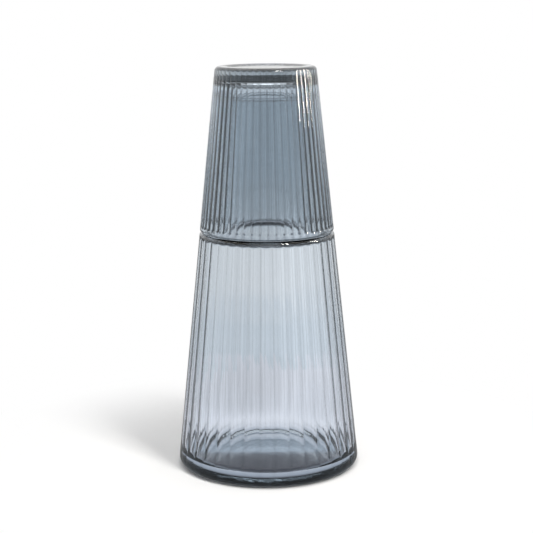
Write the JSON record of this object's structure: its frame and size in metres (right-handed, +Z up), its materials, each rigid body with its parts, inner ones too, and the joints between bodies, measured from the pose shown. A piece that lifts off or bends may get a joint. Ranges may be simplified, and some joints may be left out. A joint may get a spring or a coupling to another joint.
{
  "type": "bedside carafe with tumbler",
  "caption": "Conical ribbed carafe of smoke grey-blue glass with a smooth neck set in from the shoulder, and a finely ribbed tumbler that stands upside down over the neck as its lid.",
  "frame": {"origin": "centre of the ring that the carafe stands on, at the table", "axes": "+Z up along the common axis of carafe and tumbler; +X and +Y are free, the set being round"},
  "size_m": [0.1, 0.1, 0.22],
  "materials": {
    "carafe_glass": "clear polished, tinted smoke grey-blue in the glass",
    "tumbler_glass": "clear polished, tinted smoke grey-blue in the glass"
  },
  "bodies": {
    "carafe": {"carafe": "carafe_glass"},
    "tumbler": {"tumbler": "tumbler_glass"}
  },
  "joints": [
    {"name": "tumbler_lift", "type": "slide", "parent": "carafe", "child": "tumbler", "axis": [0, 0, 1], "range_m": [0, 0.08]}
  ]
}
